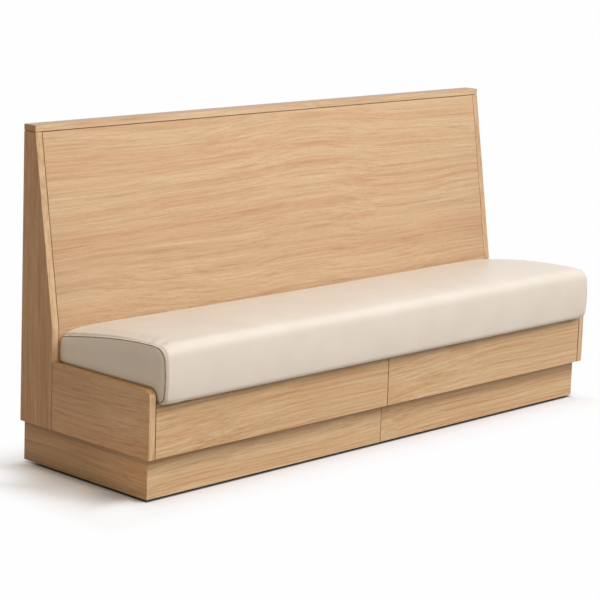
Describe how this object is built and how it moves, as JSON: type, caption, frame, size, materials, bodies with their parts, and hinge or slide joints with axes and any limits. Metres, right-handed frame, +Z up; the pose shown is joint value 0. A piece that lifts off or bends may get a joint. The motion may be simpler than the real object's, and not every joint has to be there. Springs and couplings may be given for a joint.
{
  "type": "restaurant booth",
  "caption": "Single-sided restaurant booth: oak-veneered seat box on a recessed plinth, raked panel back under a flat cap, and a loose upholstered bench cushion.",
  "frame": {"origin": "centre of the bounding box at floor level", "axes": "+X along the booth to its right end as seen from the front, -Y towards the sitter's feet, +Y towards the wall behind the back, +Z up"},
  "size_m": [2.1, 0.644, 1.07],
  "materials": {
    "oak_veneer": "clear matt lacquer",
    "plywood": "raw birch plywood",
    "softwood": "planed pine",
    "leather": "smooth satin leather",
    "foam": "open-cell foam",
    "zinc_steel": "zinc plated",
    "nylon": "moulded black nylon"
  },
  "bodies": {
    "booth": {"back_end_panel_left": "oak_veneer", "back_end_panel_right": "oak_veneer", "back_lower_panel": "oak_veneer", "back_panel": "oak_veneer", "back_rib_left": "plywood", "back_rib_left_end": "plywood", "back_rib_middle": "plywood", "back_rib_right": "plywood", "back_rib_right_end": "plywood", "back_top_rail": "softwood", "base_board": "plywood", "bracket_screws": "zinc_steel", "cap_screws": "zinc_steel", "deck_screws": "zinc_steel", "end_panel_screws": "zinc_steel", "fascia_joint_blocks": "softwood", "fascia_screws": "zinc_steel", "floor_brackets": "zinc_steel", "front_rail": "softwood", "leveller_blocks": "softwood", "leveller_inserts": "zinc_steel", "plinth_cross_rail_left": "softwood", "plinth_cross_rail_right": "softwood", "plinth_end_left": "oak_veneer", "plinth_end_right": "oak_veneer", "plinth_front_left": "oak_veneer", "plinth_front_right": "oak_veneer", "plinth_rear_rail": "softwood", "rear_panel": "oak_veneer", "rear_panel_screws": "zinc_steel", "seat_deck": "plywood", "seat_end_panel_left": "oak_veneer", "seat_end_panel_right": "oak_veneer", "seat_fascia_left": "oak_veneer", "seat_fascia_right": "oak_veneer", "seat_rib_left": "plywood", "seat_rib_left_end": "plywood", "seat_rib_middle": "plywood", "seat_rib_right": "plywood", "seat_rib_right_end": "plywood", "top_cap": "oak_veneer"},
    "cushion": {"cushion_board": "plywood", "cushion_foam": "foam", "cushion_cover": "leather", "cushion_end_cover_left": "leather", "cushion_end_cover_right": "leather"},
    "foot_front_left": {"foot_pad_front_left": "nylon", "foot_stud_front_left": "zinc_steel"},
    "foot_front_middle": {"foot_pad_front_middle": "nylon", "foot_stud_front_middle": "zinc_steel"},
    "foot_front_right": {"foot_pad_front_right": "nylon", "foot_stud_front_right": "zinc_steel"},
    "foot_rear_left": {"foot_pad_rear_left": "nylon", "foot_stud_rear_left": "zinc_steel"},
    "foot_rear_middle": {"foot_pad_rear_middle": "nylon", "foot_stud_rear_middle": "zinc_steel"},
    "foot_rear_right": {"foot_pad_rear_right": "nylon", "foot_stud_rear_right": "zinc_steel"}
  },
  "joints": [
    {"name": "cushion_lift", "type": "slide", "parent": "booth", "child": "cushion", "axis": [0, 0, 1], "range_m": [0, 0.25]},
    {"name": "foot_front_left_turn", "type": "hinge", "parent": "booth", "child": "foot_front_left", "pos_m": [-0.989, -0.21, 0], "axis": [0, 0, 1], "continuous": true},
    {"name": "foot_front_middle_turn", "type": "hinge", "parent": "booth", "child": "foot_front_middle", "pos_m": [0, -0.21, 0], "axis": [0, 0, 1], "continuous": true},
    {"name": "foot_front_right_turn", "type": "hinge", "parent": "booth", "child": "foot_front_right", "pos_m": [0.989, -0.21, 0], "axis": [0, 0, 1], "continuous": true},
    {"name": "foot_rear_left_turn", "type": "hinge", "parent": "booth", "child": "foot_rear_left", "pos_m": [-0.989, 0.229, 0], "axis": [0, 0, 1], "continuous": true},
    {"name": "foot_rear_middle_turn", "type": "hinge", "parent": "booth", "child": "foot_rear_middle", "pos_m": [0, 0.229, 0], "axis": [0, 0, 1], "continuous": true},
    {"name": "foot_rear_right_turn", "type": "hinge", "parent": "booth", "child": "foot_rear_right", "pos_m": [0.989, 0.229, 0], "axis": [0, 0, 1], "continuous": true}
  ]
}
